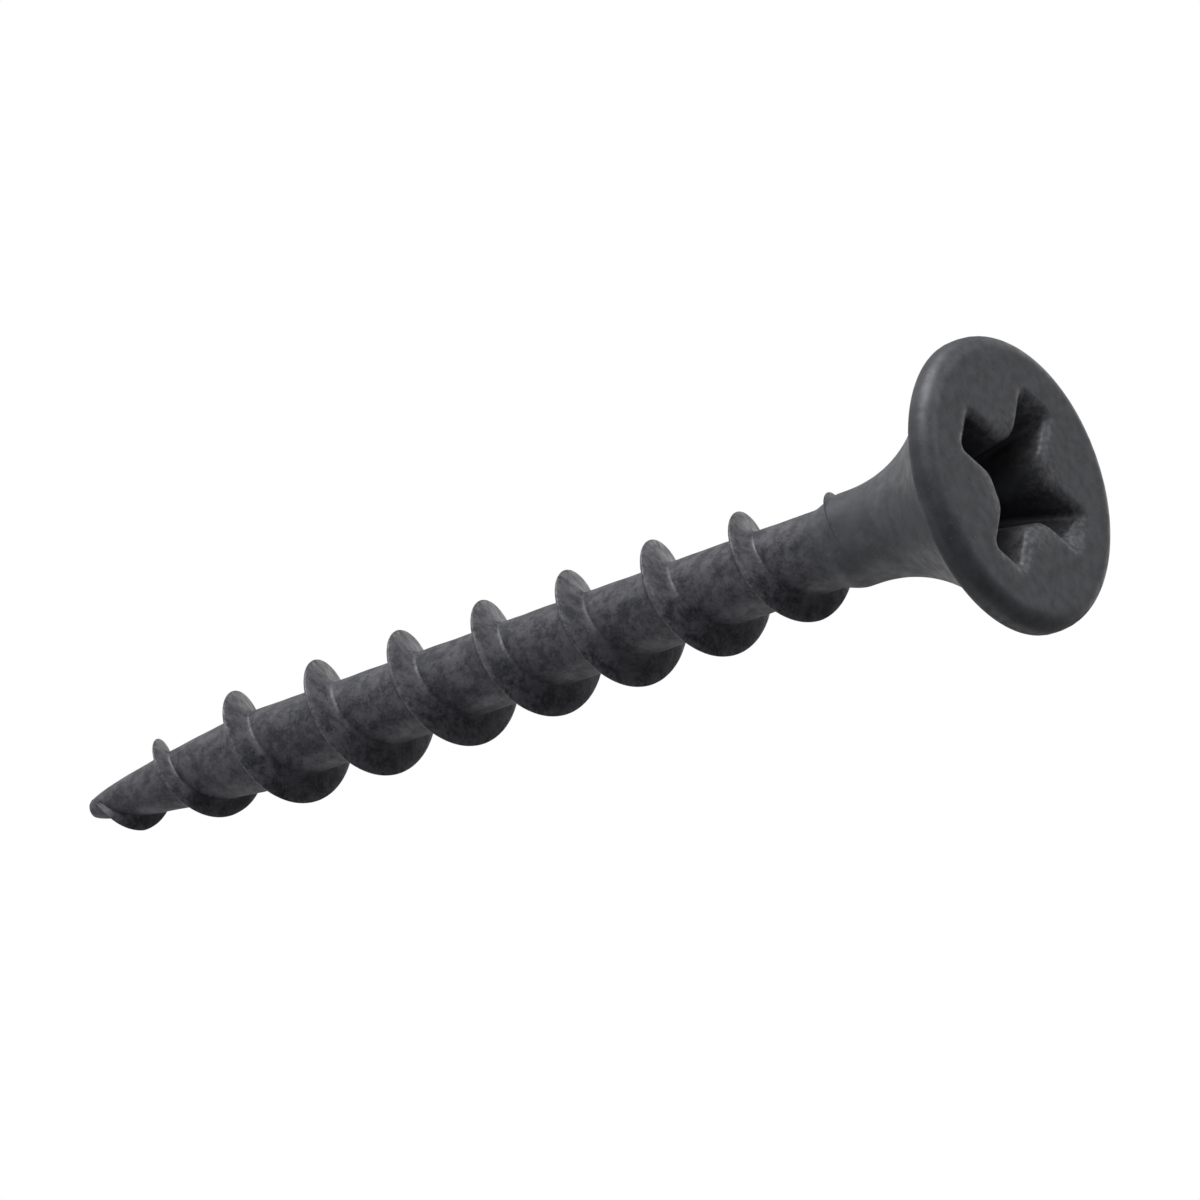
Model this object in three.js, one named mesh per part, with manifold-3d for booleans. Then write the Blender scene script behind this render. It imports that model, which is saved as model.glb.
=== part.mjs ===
// A bugle-head wood screw, 32 mm long, with a cross recess and a coarse single-start thread.
//
// Units are millimetres. The screw stands on the Z axis. The flat top of its head lies in the plane
// z = 0 and faces +Z, and its point is at z = -LENGTH. A "depth" is a distance below that flat top.
// A real screw is one piece of steel. Here it is divided at its working features, which are the
// head, neck, core, point and thread, and these meet face to face.

import * as THREE from "three";
import { mergeVertices } from "three/addons/utils/BufferGeometryUtils.js";
import Module from "manifold-3d";

// Overall sizes
const LENGTH = 32;
const HEAD_DIAMETER = 8.08;
const THREAD_DIAMETER = 3.66;
const CORE_DIAMETER = 2.17;
const NECK_DIAMETER = 2.59;
const PITCH = 2.9;

// Head: a flat top with a rounded edge, a short upright rim, and a trumpet-shaped flare below it
const HEAD_HEIGHT = 5.4;
const EDGE_ROUND = 0.46;
const RIM_DEPTH = 0.74;
const FLARE_TOP_DEPTH = 0.8;
const FLARE_TOP_RADIUS = 3.7;
const FLARE_CURVE = 2.16;

// Cross recess, size 2: its sizes at the flat top, and where the closing cone starts
const RECESS_TURN = Math.PI / 4;
const RECESS_MOUTH = { wingReach: 2.6, wingHalfWidth: 0.64, webReach: 1.35 };
const RECESS_FLOOR = { wingReach: 1.5, wingHalfWidth: 0.46, webReach: 0.95 };
const RECESS_FLOOR_DEPTH = 2.2;
const RECESS_DEPTH = 2.75;

// Shank: the plain neck narrows to the core, and the core narrows along a curve to a blunt point
const NECK_END_DEPTH = 6.05;
const CORE_START_DEPTH = 6.5;
const POINT_LENGTH = 5.7;
const POINT_END_RADIUS = 0.17;
const POINT_CURVE = 0.6;

// Thread: a right-hand ridge. Its crest radius follows a line of [depth, radius] points through the
// run-out under the head, the full thread, and the climb at the point.
const RIDGE_HALF_WIDTH = 0.46;
const CREST_HALF_WIDTH = 0.045;
const THREAD_TOP_DEPTH = 5;
const THREAD_BOTTOM_DEPTH = LENGTH - 0.46;
const THREAD_BOTTOM_ANGLE = THREE.MathUtils.degToRad(243);
const CREST_LINE = [
  [THREAD_TOP_DEPTH, 1.35],
  [6.1, 1.45],
  [7.4, 1.71],
  [8.9, 1.75],
  [10.5, THREAD_DIAMETER / 2],
  [LENGTH - 8.9, THREAD_DIAMETER / 2],
  [LENGTH - 5.6, 1.77],
  [LENGTH - 4.4, 1.4],
  [LENGTH - 2.8, 1.24],
  [LENGTH - 1.4, 0.98],
  [THREAD_BOTTOM_DEPTH, 0.5],
];

// Facets round the axis. The turned pieces and the thread share one set of angles, so they fit.
const FACETS = 40;

const wasm = await Module();
wasm.setup();

function solidOf(geometry) {
  const bare = geometry.clone();
  bare.deleteAttribute("normal");
  bare.deleteAttribute("uv");
  const merged = mergeVertices(bare, 1e-5);
  return new wasm.Manifold(
    new wasm.Mesh({
      numProp: 3,
      vertProperties: merged.getAttribute("position").array,
      triVerts: new Uint32Array(merged.index.array),
    }),
  );
}

// What is left of one closed geometry when another is cut out of it.
function cutOut(geometry, cutter) {
  const mesh = solidOf(geometry).subtract(solidOf(cutter)).getMesh();
  const left = new THREE.BufferGeometry();
  left.setAttribute("position", new THREE.BufferAttribute(mesh.vertProperties, 3));
  left.setIndex(new THREE.BufferAttribute(mesh.triVerts, 1));
  return left;
}

// A solid turned about Z from an outline of [radius, z] points that runs upwards.
function turned(outline) {
  const closed = [[0, outline[0][1]], ...outline, [0, outline.at(-1)[1]]];
  const points = closed.map(([radius, z]) => new THREE.Vector2(radius, z));
  return new THREE.LatheGeometry(points, FACETS).rotateX(Math.PI / 2);
}

// A solid skinned over rings of points. Each ring runs anticlockwise seen from the ring after it.
function skinned(rings) {
  const size = rings[0].length;
  const points = rings.flat();
  const faces = [];
  for (let ring = 0; ring < rings.length - 1; ring++) {
    for (let i = 0; i < size; i++) {
      const here = ring * size + i;
      const next = ring * size + ((i + 1) % size);
      faces.push(here, next, next + size, here, next + size, here + size);
    }
  }
  const bottom = points.push(centreOf(rings[0])) - 1;
  const top = points.push(centreOf(rings.at(-1))) - 1;
  const lastRing = (rings.length - 1) * size;
  for (let i = 0; i < size; i++) {
    const next = (i + 1) % size;
    faces.push(bottom, next, i, top, lastRing + i, lastRing + next);
  }
  return new THREE.BufferGeometry().setFromPoints(points).setIndex(faces);
}

function centreOf(ring) {
  const sum = ring.reduce((total, point) => total.add(point), new THREE.Vector3());
  return sum.divideScalar(ring.length);
}

// The radius at a depth on a line of [depth, radius] points with rising depths.
function radiusAt(line, depth) {
  const end = Math.max(1, line.findIndex(([lineDepth]) => lineDepth >= depth));
  const [upper, lower] = [line[end - 1], line[end]];
  return THREE.MathUtils.mapLinear(depth, upper[0], lower[0], upper[1], lower[1]);
}

// The outlines below are lists of [radius, z] points that run upwards.

function pointOutline() {
  const steps = 6;
  const outline = [];
  for (let i = 0; i <= steps; i++) {
    const share = (i / steps) ** 1.6;
    const growth = (CORE_DIAMETER / 2 - POINT_END_RADIUS) * share ** POINT_CURVE;
    outline.push([POINT_END_RADIUS + growth, -LENGTH + POINT_LENGTH * share]);
  }
  return outline;
}

function coreOutline() {
  return [
    [CORE_DIAMETER / 2, -LENGTH + POINT_LENGTH],
    [CORE_DIAMETER / 2, -CORE_START_DEPTH],
  ];
}

function neckOutline() {
  return [
    [CORE_DIAMETER / 2, -CORE_START_DEPTH],
    [NECK_DIAMETER / 2, -NECK_END_DEPTH],
    [NECK_DIAMETER / 2, -HEAD_HEIGHT],
  ];
}

function flareOutline() {
  const steps = 10;
  const outline = [];
  for (let i = 0; i <= steps; i++) {
    const share = i / steps;
    const growth = (FLARE_TOP_RADIUS - NECK_DIAMETER / 2) * share ** FLARE_CURVE;
    const depth = THREE.MathUtils.lerp(HEAD_HEIGHT, FLARE_TOP_DEPTH, share);
    outline.push([NECK_DIAMETER / 2 + growth, -depth]);
  }
  return outline;
}

function rimOutline() {
  const steps = 4;
  const outline = [[HEAD_DIAMETER / 2, -RIM_DEPTH]];
  for (let i = 0; i <= steps; i++) {
    const turn = (i / steps) * (Math.PI / 2);
    const inset = EDGE_ROUND * (1 - Math.cos(turn));
    outline.push([HEAD_DIAMETER / 2 - inset, -EDGE_ROUND * (1 - Math.sin(turn))]);
  }
  return outline;
}

function headOutline() {
  return [...flareOutline(), ...rimOutline()];
}

// The whole screw without its thread and recess.
function bodyOutline() {
  return [...pointOutline(), ...neckOutline(), ...headOutline().slice(1)];
}

// One ring of the cross recess: four wings, with a flat web across the corner between each two.
function crossRing({ wingReach, wingHalfWidth, webReach }, z) {
  const webEnd = Math.SQRT2 * webReach - wingHalfWidth;
  const wing = [
    [webEnd, -wingHalfWidth],
    [wingReach, -wingHalfWidth],
    [wingReach, wingHalfWidth],
    [webEnd, wingHalfWidth],
  ];
  const axis = new THREE.Vector3(0, 0, 1);
  const turns = [0, 1, 2, 3].map((quarter) => RECESS_TURN + (quarter * Math.PI) / 2);
  return turns.flatMap((turn) =>
    wing.map(([x, y]) => new THREE.Vector3(x, y, z).applyAxisAngle(axis, turn)),
  );
}

// The recess tapers evenly from mouth to floor. Its sizes at a depth, which may be above the mouth:
function recessSizes(depth) {
  const share = depth / RECESS_FLOOR_DEPTH;
  const between = (key) => THREE.MathUtils.lerp(RECESS_MOUTH[key], RECESS_FLOOR[key], share);
  return {
    wingReach: between("wingReach"),
    wingHalfWidth: between("wingHalfWidth"),
    webReach: between("webReach"),
  };
}

// The recess as a solid, from the tip of its closing cone to a little above the flat top.
function recess() {
  const overhang = 0.5;
  const coneTip = { wingReach: 0.15, wingHalfWidth: 0.05, webReach: 0.1 };
  return skinned([
    crossRing(coneTip, -RECESS_DEPTH),
    crossRing(RECESS_FLOOR, -RECESS_FLOOR_DEPTH),
    crossRing(recessSizes(-overhang), overhang),
  ]);
}

// The ridge's section at a depth, as [radius, rise] points. Its foot is sunk into the shank.
function ridgeSection(depth, shankLine) {
  const surface = radiusAt(shankLine, Math.max(depth, HEAD_HEIGHT));
  const crest = radiusAt(CREST_LINE, depth);
  const foot = surface * 0.7;
  const fullHeight = (THREAD_DIAMETER - CORE_DIAMETER) / 2;
  const flankSlope = (RIDGE_HALF_WIDTH - CREST_HALF_WIDTH) / fullHeight;
  const footHalfWidth = CREST_HALF_WIDTH + (crest - foot) * flankSlope;
  return [
    [foot, footHalfWidth],
    [crest - CREST_HALF_WIDTH, CREST_HALF_WIDTH],
    [crest, 0],
    [crest - CREST_HALF_WIDTH, -CREST_HALF_WIDTH],
    [foot, -footHalfWidth],
  ];
}

// The ridge wound up the screw from the point, anticlockwise seen from the head.
function ridge() {
  const shankOutline = [...pointOutline(), ...neckOutline()];
  const shankLine = shankOutline.map(([radius, z]) => [-z, radius]).reverse();
  const climb = PITCH / FACETS;
  const steps = Math.floor((THREAD_BOTTOM_DEPTH - THREAD_TOP_DEPTH) / climb);
  const rings = [];
  for (let i = 0; i <= steps; i++) {
    const depth = THREAD_BOTTOM_DEPTH - i * climb;
    const angle = THREAD_BOTTOM_ANGLE + (i / FACETS) * 2 * Math.PI;
    const place = ([radius, rise]) =>
      new THREE.Vector3(radius * Math.cos(angle), radius * Math.sin(angle), rise - depth);
    rings.push(ridgeSection(depth, shankLine).map(place));
  }
  return skinned(rings);
}

// Steel with a dull grey-black phosphate coat.
function piece(name, geometry, color, roughness) {
  const material = new THREE.MeshStandardMaterial({ color, roughness, metalness: 0.4 });
  geometry.computeVertexNormals();
  const mesh = new THREE.Mesh(geometry, material);
  mesh.name = name;
  return mesh;
}

const screw = new THREE.Group();
screw.add(
  piece("head", cutOut(turned(headOutline()), recess()), "#3f4144", 0.62),
  piece("neck", turned(neckOutline()), "#3a3b40", 0.6),
  piece("core", turned(coreOutline()), "#3a3b40", 0.66),
  piece("point", turned(pointOutline()), "#36373b", 0.66),
  piece("thread", cutOut(ridge(), turned(bodyOutline())), "#3d3e43", 0.6),
);

export default screw;
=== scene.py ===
import math

import bpy
import numpy as np
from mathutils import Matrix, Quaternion, Vector


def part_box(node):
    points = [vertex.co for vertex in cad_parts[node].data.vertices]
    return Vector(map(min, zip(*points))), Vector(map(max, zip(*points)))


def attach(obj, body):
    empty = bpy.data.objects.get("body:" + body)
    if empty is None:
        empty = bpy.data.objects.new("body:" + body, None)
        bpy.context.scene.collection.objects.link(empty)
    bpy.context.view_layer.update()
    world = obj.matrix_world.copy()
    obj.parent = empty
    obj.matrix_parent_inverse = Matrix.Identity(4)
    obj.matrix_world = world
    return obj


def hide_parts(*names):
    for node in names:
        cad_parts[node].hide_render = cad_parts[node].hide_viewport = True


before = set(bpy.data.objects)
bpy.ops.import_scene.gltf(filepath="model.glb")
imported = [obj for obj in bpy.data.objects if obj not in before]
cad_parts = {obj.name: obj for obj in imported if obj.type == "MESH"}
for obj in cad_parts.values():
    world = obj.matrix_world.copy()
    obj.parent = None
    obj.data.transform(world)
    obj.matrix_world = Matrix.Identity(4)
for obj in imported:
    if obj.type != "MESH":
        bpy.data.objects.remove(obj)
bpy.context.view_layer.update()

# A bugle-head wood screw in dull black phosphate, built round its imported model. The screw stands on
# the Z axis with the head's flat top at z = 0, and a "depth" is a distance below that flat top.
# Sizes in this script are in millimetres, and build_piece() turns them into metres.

MM = 0.001
TURN = 2 * math.pi


# ---------------------------------------------------------------- sizes

def millimetres(node):
    """A node's lowest and highest corners in millimetres."""
    low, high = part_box(node)
    return [c / MM for c in low], [c / MM for c in high]


(_, _, POINT_BOTTOM), (_, _, POINT_TOP) = millimetres("point")
(_, _, HEAD_BOTTOM), (HEAD_RADIUS, _, _) = millimetres("head")
(_, _, NECK_BOTTOM), (NECK_RADIUS, _, _) = millimetres("neck")
CORE_RADIUS = millimetres("core")[1][0]
LENGTH = -POINT_BOTTOM
HEAD_HEIGHT = -HEAD_BOTTOM
CORE_START = -NECK_BOTTOM
POINT_LENGTH = POINT_TOP - POINT_BOTTOM

# Head
EDGE_ROUND = 0.46
RIM_DEPTH = 0.74
RIM_BACK_ROUND = 0.09
FLARE_TOP_DEPTH = 0.8
FLARE_TOP_RADIUS = 3.7
FLARE_CURVE = 2.16

# Cross recess: its sizes at the flat top and at its floor, how much the rounded mouth widens its
# wings and its webs, and the depths of its floor and of the tip of the cone that closes it
RECESS_TURN = math.pi / 4
RECESS_MOUTH = {"reach": 2.5, "half_width": 0.55, "web": 1.2, "end_round": 0.16, "web_round": 0.6}
RECESS_FLOOR = {"reach": 1.5, "half_width": 0.4, "web": 0.85, "end_round": 0.14, "web_round": 0.35}
MOUTH_ROUND = 0.26
WEB_ROUND = 0.55
RECESS_FLOOR_DEPTH = 2.2
RECESS_DEPTH = 2.75

# Shank
NECK_END = 5.55
POINT_END_RADIUS = 0.17
POINT_END_ROUND = 0.08
POINT_CURVE = 0.6
ROUND_SEGMENTS = 192

# The faint ripple that thread rolling leaves on the shank, and how unevenly high it leaves the crest
RIPPLE = 0.004
CREST_UNEVENNESS = 0.008

# Thread: its crest radius follows a line of (depth, radius) points
THREAD_RADIUS = 1.83
PITCH = 2.9
THREAD_TOP = 5.2
THREAD_BOTTOM = LENGTH - 0.1
THREAD_BOTTOM_ANGLE = math.radians(198)
CREST_LINE = [
    (THREAD_TOP, 1.28),
    (5.65, 1.35),
    (6.1, 1.45),
    (7.4, 1.71),
    (8.9, 1.75),
    (10.5, THREAD_RADIUS),
    (LENGTH - 8.9, THREAD_RADIUS),
    (LENGTH - 5.6, 1.77),
    (LENGTH - 4.4, 1.4),
    (LENGTH - 2.8, 1.24),
    (LENGTH - 1.4, 0.98),
    (LENGTH - 0.46, 0.48),
    (THREAD_BOTTOM, 0.24),
]

# The ridge's section: the width of its flank on the tip's side for each unit of height, the share of
# that width on the head's side, and the shares of the width that its rounded crest and root take
FLANK_SLOPE = 0.557
HEAD_SIDE_SHARE = 0.65
CREST_SHARE = 0.16
ROOT_SHARE = 0.5

# How far the ridge's foot lies below the shank's surface, how far its hidden underside does, and the
# least height that the ridge starts and ends with
SEAT = 0.001
SINK = 0.2
LEAST_HEIGHT = 0.01

# Two faces that meet at more than this angle keep a crisp edge
CRISP_ANGLE = math.radians(38)

# Coat: dark and light linear colours, a worn colour that also paints highlights in the recess, a
# painted shade colour for the rim, and the depths between which the even coat turns mottled
HEAD_SHADES = (0.017, 0.0175, 0.02), (0.03, 0.031, 0.035)
SHANK_SHADES = (0.004, 0.004, 0.006), (0.043, 0.0425, 0.05)
WORN_AND_PAINTED_HIGHLIGHT_COLOUR = (0.06, 0.06, 0.061)
PAINTED_SHADE_COLOUR = (0.004, 0.004, 0.006)
EVEN_ABOVE = 4.5
MOTTLED_BELOW = 7.5

# Wear of the coat and painted light: 1 is fully worn, which in the recess also paints a highlight, and
# below zero is painted shade that darkens the coat
# Painted shade on the rim's side, fading out across its edge rounding
RIM_PAINTED_SHADE = -0.5
EDGE_WEAR = 0.2
FLAT_WEAR = 0.03
MOUTH_WEAR_AND_HIGHLIGHT = 0.4

# The recess's walls are worn, and painted lighter as a highlight, down to this depth. The ridge is
# worn over this share of its height, from the crest down, and fully so only where it is at least this
# high.
WEAR_AND_HIGHLIGHT_DEPTH = 1.4
WORN_CREST_SHARE = 0.3
WORN_RIDGE_HEIGHT = 0.5

# Studio. The floor lies so far below the screw's point that no shadow falls in the picture.
FLOOR_DROP = 400
FLOOR_REACH = 3000
STUDIO_BRIGHTNESS = 0.3
SOFTBOX_SIZE = 400
SOFTBOX_DISTANCE = 500
AIM_DEPTH = 0.4 * LENGTH

# Softboxes as (azimuth, elevation, watts). Azimuth 0 is the camera's side and 90 is +X.
SOFTBOXES = {
    "key": (270, 2, 5.0),
    "front": (315, 25, 0.7),
    "top_back": (225, 55, 1.25),
    "back": (180, 2, 0.65),
    "low_front": (0, -28, 0.65),
    "low_side": (90, -28, 0.45),
}


# ---------------------------------------------------------------- mesh helpers

def skin_faces(count, size):
    """Faces that skin a stack of rings, and fans that close both ends on two last points."""
    bottom, top = count * size, count * size + 1
    faces = []
    for ring in range(count - 1):
        for i in range(size):
            here = ring * size + i
            after = ring * size + (i + 1) % size
            faces.append((here, after, after + size, here + size))
    last = (count - 1) * size
    for i in range(size):
        after = (i + 1) % size
        faces.append((bottom, after, i))
        faces.append((top, last + i, last + after))
    return faces


def build_piece(name, rings, wear_and_painted_light, node, material):
    """A closed mesh skinned over rings that run anticlockwise seen from above, listed upwards."""
    rings = np.asarray(rings)
    count, size, _ = rings.shape
    ends = [rings[0].mean(axis=0), rings[-1].mean(axis=0)]
    vertices = np.vstack([rings.reshape(-1, 3), ends]) * MM
    faces = skin_faces(count, size)
    mesh = bpy.data.meshes.new(name)
    mesh.from_pydata(vertices.tolist(), [], faces)
    mesh.polygons.foreach_set("use_smooth", [True] * len(faces))
    mesh.set_sharp_from_angle(angle=CRISP_ANGLE)
    # This channel holds worn parts of the coat, highlights painted into the recess, and shade painted
    # onto the rim, below zero
    layer = mesh.attributes.new("wear_and_painted_light", "FLOAT", "POINT")
    values = np.append(np.asarray(wear_and_painted_light, dtype=float).reshape(-1), [0.0, 0.0])
    layer.data.foreach_set("value", values)
    mesh.materials.append(material)
    piece = bpy.data.objects.new(name, mesh)
    bpy.context.scene.collection.objects.link(piece)
    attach(piece, "root")
    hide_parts(node)
    return piece


def circle(angles, radii, z):
    """One ring of points round the axis."""
    heights = np.broadcast_to(z, angles.shape)
    return np.stack([radii * np.cos(angles), radii * np.sin(angles), heights], axis=1)


def flat_ring(outline, z):
    """One ring that follows an outline of (x, y) points at one height."""
    return np.column_stack([outline, np.full(len(outline), z)])


def smooth(share):
    """Ease from 0 to 1 as a share goes from 0 to 1."""
    share = np.clip(share, 0, 1)
    return share * share * (3 - 2 * share)


# ---------------------------------------------------------------- the shank

def shank_radius(depth, angle):
    """The shank's radius under the thread, with the faint ripple that thread rolling leaves."""
    depth = np.asarray(depth, dtype=float)
    narrowed = smooth((depth - NECK_END) / (CORE_START - NECK_END))
    neck = CORE_RADIUS + (NECK_RADIUS - CORE_RADIUS) * (1 - narrowed)
    from_end = np.clip(LENGTH - depth, 0, None)
    share = np.clip(from_end / POINT_LENGTH, 0, 1)
    point = POINT_END_RADIUS + (CORE_RADIUS - POINT_END_RADIUS) * share ** POINT_CURVE
    rounding = 1 - np.clip(from_end / POINT_END_ROUND, 0, 1)
    # The very end keeps a fiftieth of its width, so that its last ring doesn't shrink to one point.
    point = point * np.sqrt(np.clip(1 - rounding ** 2, 0.02 ** 2, 1))
    radius = np.where(from_end < POINT_LENGTH, point, neck)
    ripple = RIPPLE * np.sin(3 * angle + 5.1 * depth) + 0.75 * RIPPLE * np.sin(7 * angle - 3.3 * depth)
    rolled = smooth((depth - CORE_START) / 1.5) * smooth((from_end - 0.5) / 2)
    return radius + ripple * rolled


def shank_rings(depths):
    """Rings on the shank's surface at the given depths."""
    angles = np.arange(ROUND_SEGMENTS) * TURN / ROUND_SEGMENTS
    return [circle(angles, shank_radius(depth, angles), -depth) for depth in depths]


def build_shank_part(name, top_depth, bottom_depth, steps, material, bend=1.0):
    """A stretch of the shank. A bend over 1 crowds its rings towards the bottom."""
    shares = np.linspace(0, 1, steps) ** bend
    depths = bottom_depth + (top_depth - bottom_depth) * shares
    rings = shank_rings(depths)
    wear_and_painted_light = np.zeros((len(rings), len(rings[0])))
    return build_piece(name + "_fine", rings, wear_and_painted_light, name, material)


# ---------------------------------------------------------------- head

def half_wing(reach, half_width, web, end_round, web_round):
    """Half of a wing's outline, from the middle of its end to halfway along the web beside it."""
    web_end = math.sqrt(2) * web - half_width
    tangent = web_round * math.tan(math.pi / 8)
    side_start, side_end = reach - end_round, web_end + tangent
    outline = []
    for share in np.linspace(0, 1, 4, endpoint=False):
        outline.append((reach, share * (half_width - end_round)))
    for turn in np.linspace(0, math.pi / 2, 7):
        x = reach - end_round + end_round * math.cos(turn)
        y = half_width - end_round + end_round * math.sin(turn)
        outline.append((x, y))
    for share in np.linspace(0, 1, 7, endpoint=False)[1:]:
        outline.append((side_start + (side_end - side_start) * share, half_width))
    for turn in np.linspace(0, math.pi / 4, 7):
        x = web_end + tangent - web_round * math.sin(turn)
        y = half_width + web_round - web_round * math.cos(turn)
        outline.append((x, y))
    middle = web / math.sqrt(2)
    outline.append(((outline[-1][0] + middle) / 2, (outline[-1][1] + middle) / 2))
    outline.append((middle, middle))
    return outline


def cross_outline(**sizes):
    """The cross recess's outline, anticlockwise, as four wings with rounded corners and webs."""
    half = half_wing(**sizes)
    mirrored = [(y, x) for x, y in reversed(half[1:-1])]
    quarter = np.array(half + mirrored)
    outline = []
    for wing in range(4):
        turn = RECESS_TURN + wing * math.pi / 2
        rotation = np.array([[math.cos(turn), math.sin(turn)], [-math.sin(turn), math.cos(turn)]])
        outline.append(quarter @ rotation)
    return np.vstack(outline)


def recess_sizes(depth, rounding=0.0):
    """The recess's sizes at a depth. A rounding of 1 widens them to where the flat top begins."""
    share = depth / RECESS_FLOOR_DEPTH
    sizes = {}
    for key, mouth_size in RECESS_MOUTH.items():
        sizes[key] = mouth_size + (RECESS_FLOOR[key] - mouth_size) * share
    for key in ("reach", "half_width", "end_round"):
        sizes[key] += MOUTH_ROUND * rounding
    sizes["web"] += WEB_ROUND * rounding
    return sizes


def flare_profile():
    """The trumpet-shaped flare as (radius, z, wear_and_painted_light), from the neck up."""
    outline = []
    for share in np.linspace(0, 1, 34):
        radius = NECK_RADIUS + (FLARE_TOP_RADIUS - NECK_RADIUS) * share ** FLARE_CURVE
        outline.append((radius, -HEAD_HEIGHT + (HEAD_HEIGHT - FLARE_TOP_DEPTH) * share, 0.0))
    return outline


def rim_profile():
    """The rim as (radius, z, wear_and_painted_light), from its rounded back edge up to the flat top.
    Its side is darkened by painted shade, which fades across the edge rounding into a little worn
    coat.
    """
    back = RIM_BACK_ROUND
    outline = []
    for turn in np.linspace(-80, 0, 6):
        angle = math.radians(turn)
        radius = HEAD_RADIUS - back + back * math.cos(angle)
        outline.append((radius, -RIM_DEPTH + back + back * math.sin(angle), 0.0))
    for share in (0.35, 0.7):
        z = -RIM_DEPTH + back + (RIM_DEPTH - back - EDGE_ROUND) * share
        outline.append((HEAD_RADIUS, z, RIM_PAINTED_SHADE))
    for turn in np.linspace(0, 90, 12):
        angle = math.radians(turn)
        radius = HEAD_RADIUS - EDGE_ROUND + EDGE_ROUND * math.cos(angle)
        wear_and_painted_light = RIM_PAINTED_SHADE + (EDGE_WEAR - RIM_PAINTED_SHADE) * smooth(turn / 45)
        z = -EDGE_ROUND + EDGE_ROUND * math.sin(angle)
        outline.append((radius, z, wear_and_painted_light * math.cos(angle)))
    return outline


def flat_top_rings(angles):
    """Rings across the flat top, between its outer edge and the recess, as (ring,
    wear_and_painted_light).
    """
    outer = circle(angles, HEAD_RADIUS - EDGE_ROUND, 0.0)
    inner = flat_ring(cross_outline(**recess_sizes(0, rounding=1)), 0.0)
    return [(outer + (inner - outer) * share, FLAT_WEAR) for share in (0.1, 0.3, 0.6, 0.85)]


def recess_rings():
    """Rings down the rounded mouth, the walls and the closing cone of the recess, as (ring,
    wear_and_painted_light). The mouth and the upper walls are worn and painted lighter as a highlight.
    """
    rings = []
    # The mouth and the upper walls are painted lighter: partly worn coat, partly a painted highlight
    # that fades into the darker depth
    for turn in np.linspace(0, math.pi / 2, 8):
        depth = MOUTH_ROUND * (1 - math.cos(turn))
        edge = cross_outline(**recess_sizes(depth, rounding=1 - math.sin(turn)))
        rings.append((flat_ring(edge, -depth), MOUTH_WEAR_AND_HIGHLIGHT + (1 - MOUTH_WEAR_AND_HIGHLIGHT) * math.sin(turn)))
    for depth in np.linspace(MOUTH_ROUND, RECESS_FLOOR_DEPTH, 12)[1:]:
        wall = cross_outline(**recess_sizes(depth))
        rings.append((flat_ring(wall, -depth), 1 - smooth(depth / WEAR_AND_HIGHLIGHT_DEPTH)))
    floor = cross_outline(**recess_sizes(RECESS_FLOOR_DEPTH))
    cone = floor * RECESS_FLOOR["web"] / np.linalg.norm(floor, axis=1, keepdims=True)
    # The wings fade into a round cone, whose last ring keeps a size just short of the cone's tip.
    for share in np.linspace(0, 0.98, 10)[1:]:
        depth = RECESS_FLOOR_DEPTH + (RECESS_DEPTH - RECESS_FLOOR_DEPTH) * share
        outline = floor + (cone - floor) * smooth(share / 0.6)
        rings.append((flat_ring(outline * (1 - share), -depth), 0.0))
    return rings


def build_head(material):
    """The head, skinned from the neck up the flare, round the rim and down into the recess."""
    mouth = cross_outline(**recess_sizes(0, rounding=1))
    angles = np.arctan2(mouth[:, 1], mouth[:, 0])
    sides = [(circle(angles, radius, z), wear_and_painted_light) for radius, z, wear_and_painted_light in flare_profile() + rim_profile()]
    stack = sides + flat_top_rings(angles) + recess_rings()
    rings = [ring for ring, _ in stack]
    wear_and_painted_light = [np.full(len(ring), amount) for ring, amount in stack]
    return build_piece("head_fine", rings, wear_and_painted_light, "head", material)


# ---------------------------------------------------------------- thread

def ridge_shape():
    """Half of the ridge's section as (share of half width, share of height), from crest to root,
    and how steep its flank is. The crest and root are rounded, and a straight flank joins them."""
    slope = 1 / (1 - (CREST_SHARE + ROOT_SHARE) / 2)
    across = np.concatenate([
        np.linspace(0, CREST_SHARE, 5),
        np.linspace(CREST_SHARE, 1 - ROOT_SHARE, 5)[1:],
        np.linspace(1 - ROOT_SHARE, 1, 6)[1:],
    ])
    crest = 1 - slope * across ** 2 / (2 * CREST_SHARE)
    flank = 1 - slope * (across - CREST_SHARE / 2)
    root = slope * (1 - across) ** 2 / (2 * ROOT_SHARE)
    height = np.where(across < CREST_SHARE, crest, np.where(across < 1 - ROOT_SHARE, flank, root))
    return across, height, slope


def crest_radius(depth, angle):
    """The crest's radius at a depth, a little uneven as a rolled thread's is."""
    depths_of_line, radii_of_line = zip(*CREST_LINE)
    unevenness = CREST_UNEVENNESS * math.sin(2.3 * angle) * math.sin(0.37 * angle)
    return float(np.interp(depth, depths_of_line, radii_of_line)) + unevenness


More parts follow.
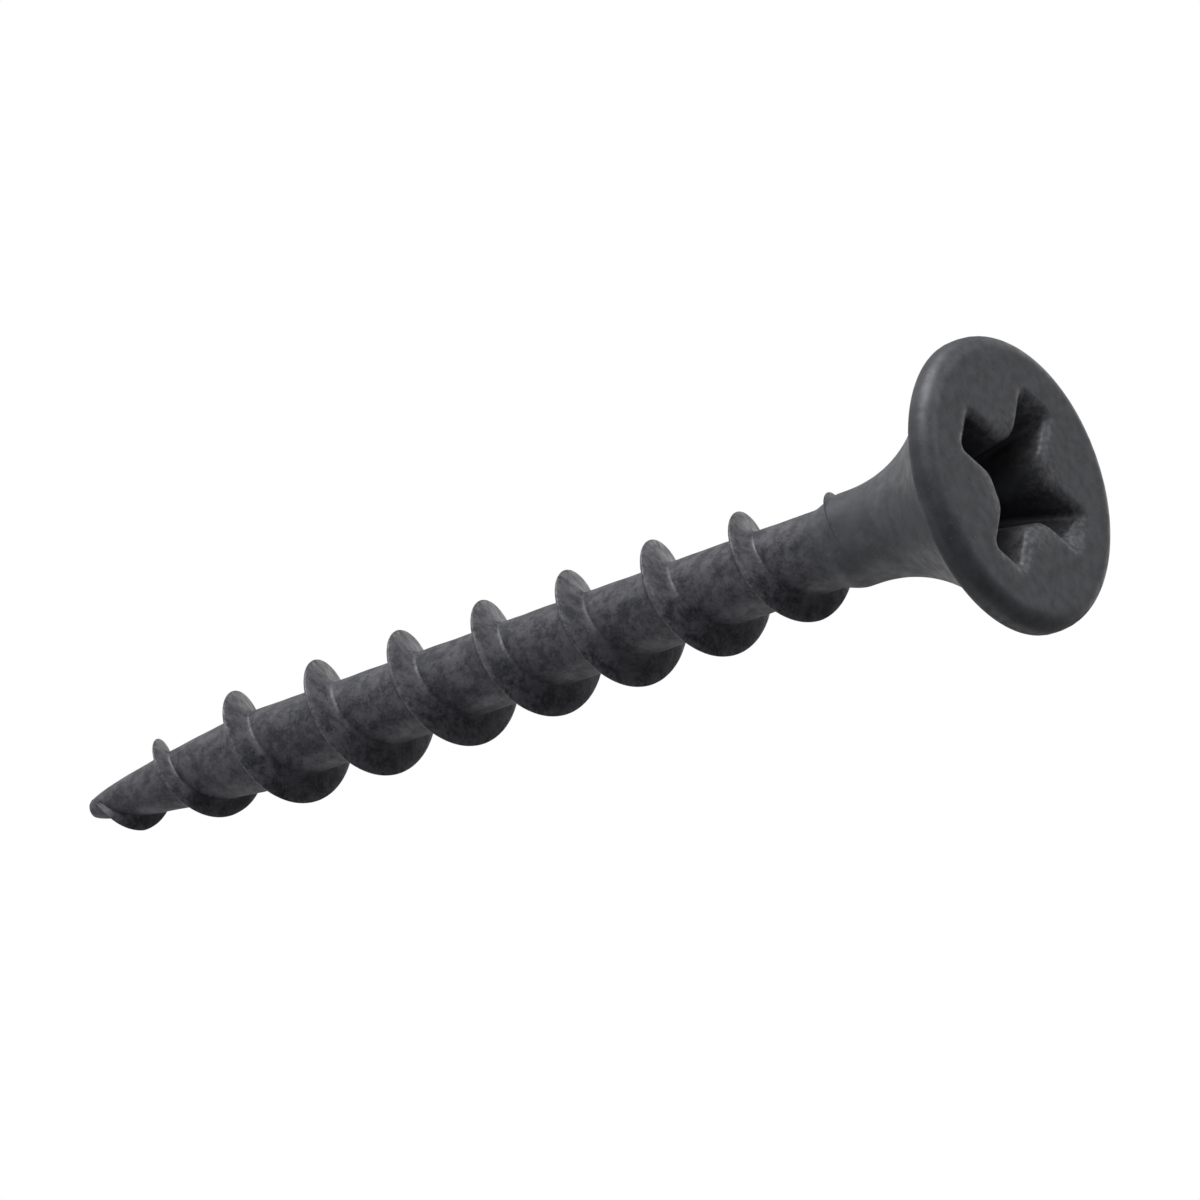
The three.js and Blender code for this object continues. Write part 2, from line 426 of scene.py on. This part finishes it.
def build_thread(material, steps_per_turn=96):
    """The right-hand ridge, wound up from the tip as a stack of its own cross-sections."""
    across, height, slope = ridge_shape()
    across = np.concatenate([-across[::-1], across[1:]])
    height = np.concatenate([height[::-1], height[1:]])
    across *= np.where(across > 0, HEAD_SIDE_SHARE, 1)
    count = int((THREAD_BOTTOM - THREAD_TOP) / PITCH * steps_per_turn)
    rings, wear_and_painted_light = [], []
    for i in range(count + 1):
        turns = i / steps_per_turn
        depth = THREAD_BOTTOM - turns * PITCH
        angle = THREAD_BOTTOM_ANGLE + turns * TURN
        tall = max(crest_radius(depth, angle) - float(shank_radius(depth, angle)), LEAST_HEIGHT)
        rise = across * (FLANK_SLOPE * slope * tall)
        surface = shank_radius(depth - rise, angle)
        underside = surface[[-1, 0]] - min(SINK, tall)
        radius = np.concatenate([surface + height * tall - SEAT, underside])
        rise = np.concatenate([rise, rise[[-1, 0]]])
        ring = np.stack([radius * math.cos(angle), radius * math.sin(angle), rise - depth], axis=1)
        rings.append(ring[::-1])
        worn = smooth((height - (1 - WORN_CREST_SHARE)) / WORN_CREST_SHARE)
        worn = np.append(worn, [0.0, 0.0]) * min(1.0, tall / WORN_RIDGE_HEIGHT)
        wear_and_painted_light.append(worn[::-1])
    return build_piece("thread_fine", rings, wear_and_painted_light, "thread", material)


# ---------------------------------------------------------------- material helpers

def feed(tree, socket, value):
    """Give a socket a number, a colour or another node's output."""
    if isinstance(value, bpy.types.NodeSocket):
        tree.links.new(value, socket)
    elif isinstance(value, tuple):
        socket.default_value = (*value, 1)
    else:
        socket.default_value = value


def noise(tree, place, feature, detail, roughness=0.55):
    """Noise whose features are about as wide as the given number of millimetres."""
    texture = tree.nodes.new("ShaderNodeTexNoise")
    feed(tree, texture.inputs["Scale"], 1 / (feature * MM))
    feed(tree, texture.inputs["Detail"], detail)
    feed(tree, texture.inputs["Roughness"], roughness)
    feed(tree, texture.inputs["Vector"], place)
    return texture.outputs["Fac"]


def stretch(tree, value, low, high, bottom=0.0, top=1.0):
    """Map the values from low to high smoothly onto the range from bottom to top."""
    node = tree.nodes.new("ShaderNodeMapRange")
    node.interpolation_type = "SMOOTHSTEP"
    feed(tree, node.inputs["Value"], value)
    for socket, amount in zip(("From Min", "From Max", "To Min", "To Max"), (low, high, bottom, top)):
        feed(tree, node.inputs[socket], amount)
    return node.outputs["Result"]


def mix_colours(tree, factor, first, second):
    """The first colour where the factor is 0, and the second where it is 1."""
    node = tree.nodes.new("ShaderNodeMix")
    node.data_type = "RGBA"
    feed(tree, node.inputs["Factor"], factor)
    colours = [socket for socket in node.inputs if socket.type == "RGBA"]
    for socket, colour in zip(colours, (first, second)):
        feed(tree, socket, colour)
    return next(socket for socket in node.outputs if socket.type == "RGBA")


def combine(tree, operation, first, second):
    """One arithmetic step between two values."""
    node = tree.nodes.new("ShaderNodeMath")
    node.operation = operation
    feed(tree, node.inputs[0], first)
    feed(tree, node.inputs[1], second)
    return node.outputs["Value"]


def bump(tree, height, strength, depth, normal=None):
    """Relief of the given depth in millimetres, on top of another relief if there is one."""
    node = tree.nodes.new("ShaderNodeBump")
    feed(tree, node.inputs["Strength"], strength)
    feed(tree, node.inputs["Distance"], depth * MM)
    feed(tree, node.inputs["Height"], height)
    if normal:
        feed(tree, node.inputs["Normal"], normal)
    return node.outputs["Normal"]


# ---------------------------------------------------------------- the phosphate coat

def coat_colour(tree, place, below_head, wear_and_painted_light, rubbed_and_painted_highlight):
    """An even coat on the head and a mottled one below it, with specks, painted shade on the rim, and
    worn parts, which in the recess are also a painted highlight.
    """
    blotches = stretch(tree, noise(tree, place, feature=0.55, detail=4), 0.35, 0.65)
    even = mix_colours(tree, blotches, *HEAD_SHADES)
    mottles = stretch(tree, noise(tree, place, feature=0.42, detail=4, roughness=0.8), 0.38, 0.62)
    mottled = mix_colours(tree, mottles, *SHANK_SHADES)
    coat = mix_colours(tree, below_head, even, mottled)
    crystals = stretch(tree, noise(tree, place, feature=0.07, detail=2), 0.35, 0.7, 0.0, 0.45)
    grainy = mix_colours(tree, crystals, coat, HEAD_SHADES[1])
    flecks = stretch(tree, noise(tree, place, feature=0.09, detail=1), 0.66, 0.76, 0.0, 0.6)
    flecked = mix_colours(tree, flecks, grainy, WORN_AND_PAINTED_HIGHLIGHT_COLOUR)
    # Painted shade: below zero, on the rim, the coat is darkened
    painted_shade = combine(tree, "MULTIPLY", wear_and_painted_light, -1.0)
    coated = mix_colours(tree, painted_shade, flecked, PAINTED_SHADE_COLOUR)
    # Worn parts are lighter: real on the crests, and in the recess also a painted highlight
    return mix_colours(tree, rubbed_and_painted_highlight, coated, WORN_AND_PAINTED_HIGHLIGHT_COLOUR)


def coat_roughness(tree, place, rubbed_and_painted_highlight):
    """Dull and a little uneven, and slightly polished where the coat is worn and where a highlight is
    painted in the recess.
    """
    dullness = stretch(tree, noise(tree, place, feature=0.3, detail=3), 0.3, 0.7, 0.46, 0.62)
    polish = combine(tree, "MULTIPLY", rubbed_and_painted_highlight, 0.12)
    return combine(tree, "SUBTRACT", dullness, polish)


def coat_relief(tree, place, below_head):
    """A skin that is nearly flat on the head and hammered by rolling below it, with fine grain."""
    hammered = combine(tree, "ADD", combine(tree, "MULTIPLY", below_head, 0.8), 0.15)
    skin = bump(tree, noise(tree, place, feature=0.3, detail=3, roughness=0.6), hammered, depth=0.02)
    return bump(tree, noise(tree, place, feature=0.06, detail=2), 0.35, depth=0.004, normal=skin)


def phosphate():
    """A dull zinc phosphate coat. It is even on the head and mottled by thread rolling below it, with
    painted shade on the rim and painted highlights in the recess.
    """
    material = bpy.data.materials.new("phosphate")
    material.use_nodes = True
    tree = material.node_tree
    shader = tree.nodes["Principled BSDF"]
    shader.inputs["Specular IOR Level"].default_value = 0.34
    shader.inputs["Specular Tint"].default_value = (0.91, 0.92, 1.0, 1)
    place = tree.nodes.new("ShaderNodeTexCoord").outputs["Object"]
    split = tree.nodes.new("ShaderNodeSeparateXYZ")
    feed(tree, split.inputs["Vector"], place)
    below_head = stretch(tree, split.outputs["Z"], -MOTTLED_BELOW * MM, -EVEN_ABOVE * MM, 1.0, 0.0)
    # The channel of worn coat, painted highlights and painted shade
    edge = tree.nodes.new("ShaderNodeAttribute")
    edge.attribute_name = "wear_and_painted_light"
    wear_and_painted_light = edge.outputs["Fac"]
    patches = stretch(tree, noise(tree, place, feature=0.16, detail=3, roughness=0.65), 0.4, 0.65)
    rubbed_and_painted_highlight = combine(tree, "MULTIPLY", wear_and_painted_light, patches)
    feed(tree, shader.inputs["Base Color"], coat_colour(tree, place, below_head, wear_and_painted_light, rubbed_and_painted_highlight))
    feed(tree, shader.inputs["Roughness"], coat_roughness(tree, place, rubbed_and_painted_highlight))
    feed(tree, shader.inputs["Normal"], coat_relief(tree, place, below_head))
    return material


# ---------------------------------------------------------------- studio

def white_to_camera(tree, lighting, output):
    """Let the camera see plain white here, while the screw is lit by the given shader."""
    white = tree.nodes.new("ShaderNodeEmission")
    path = tree.nodes.new("ShaderNodeLightPath")
    choose = tree.nodes.new("ShaderNodeMixShader")
    tree.links.new(path.outputs["Is Camera Ray"], choose.inputs["Fac"])
    tree.links.new(lighting.outputs[0], choose.inputs[1])
    tree.links.new(white.outputs["Emission"], choose.inputs[2])
    tree.links.new(choose.outputs["Shader"], output.inputs["Surface"])


def floor_white():
    """The floor's pale matt paint."""
    material = bpy.data.materials.new("floor_white")
    material.use_nodes = True
    nodes = material.node_tree.nodes
    shader = nodes["Principled BSDF"]
    shader.inputs["Base Color"].default_value = (0.9, 0.9, 0.9, 1)
    shader.inputs["Roughness"].default_value = 0.9
    white_to_camera(material.node_tree, shader, nodes["Material Output"])
    return material


def build_floor():
    """A pale floor far below the screw."""
    reach, z = FLOOR_REACH * MM, -(LENGTH + FLOOR_DROP) * MM
    corners = [(-reach, -reach, z), (reach, -reach, z), (reach, reach, z), (-reach, reach, z)]
    mesh = bpy.data.meshes.new("floor")
    mesh.from_pydata(corners, [], [(0, 1, 2, 3)])
    mesh.materials.append(floor_white())
    floor = bpy.data.objects.new("floor", mesh)
    bpy.context.scene.collection.objects.link(floor)


def soft_light(name, azimuth, elevation, watts):
    """A round softbox aimed at the screw from a direction."""
    turn, rise = math.radians(azimuth), math.radians(elevation)
    away = Vector((math.cos(rise) * math.sin(turn), -math.cos(rise) * math.cos(turn), math.sin(rise)))
    data = bpy.data.lights.new(name, "AREA")
    data.shape = "DISK"
    data.size = SOFTBOX_SIZE * MM
    data.energy = watts
    light = bpy.data.objects.new(name, data)
    light.location = Vector((0, 0, -AIM_DEPTH * MM)) + away * (SOFTBOX_DISTANCE * MM)
    light.rotation_mode = "QUATERNION"
    light.rotation_quaternion = (-away).to_track_quat("-Z", "Y")
    light.visible_camera = False
    bpy.context.scene.collection.objects.link(light)


def build_light():
    """A dim white studio all round, and the softboxes."""
    world = bpy.data.worlds.new("studio")
    bpy.context.scene.world = world
    world.use_nodes = True
    background = world.node_tree.nodes["Background"]
    background.inputs["Color"].default_value = (1, 1, 1, 1)
    background.inputs["Strength"].default_value = STUDIO_BRIGHTNESS
    white_to_camera(world.node_tree, background, world.node_tree.nodes["World Output"])
    for name, (azimuth, elevation, watts) in SOFTBOXES.items():
        soft_light(name, azimuth, elevation, watts)


def build_camera():
    """The camera stands at azimuth 0 and is rolled, so that the head points up to the right."""
    elevation, roll = math.radians(34.31), math.radians(70.40)
    aim = Vector((-0.76, 0, -13.89)) * MM
    distance = 402.7 * MM
    back = Vector((0, -math.cos(elevation), math.sin(elevation)))
    data = bpy.data.cameras.new("camera")
    data.lens = 453.9
    data.sensor_width = 36
    data.clip_start = 0.01
    camera = bpy.data.objects.new("camera", data)
    camera.rotation_mode = "QUATERNION"
    camera.location = aim + back * distance
    upright = (-back).to_track_quat("-Z", "Y")
    camera.rotation_quaternion = upright @ Quaternion((0, 0, 1), roll)
    bpy.context.scene.collection.objects.link(camera)
    bpy.context.scene.camera = camera


# ---------------------------------------------------------------- the scene

coat = phosphate()
build_head(coat)
build_shank_part("neck", HEAD_HEIGHT, CORE_START, 24, coat)
build_shank_part("core", CORE_START, LENGTH - POINT_LENGTH, 80, coat)
build_shank_part("point", LENGTH - POINT_LENGTH, LENGTH, 60, coat, bend=1.8)
build_thread(coat)
build_floor()
build_light()
build_camera()
bpy.context.scene.view_settings.view_transform = "Standard"
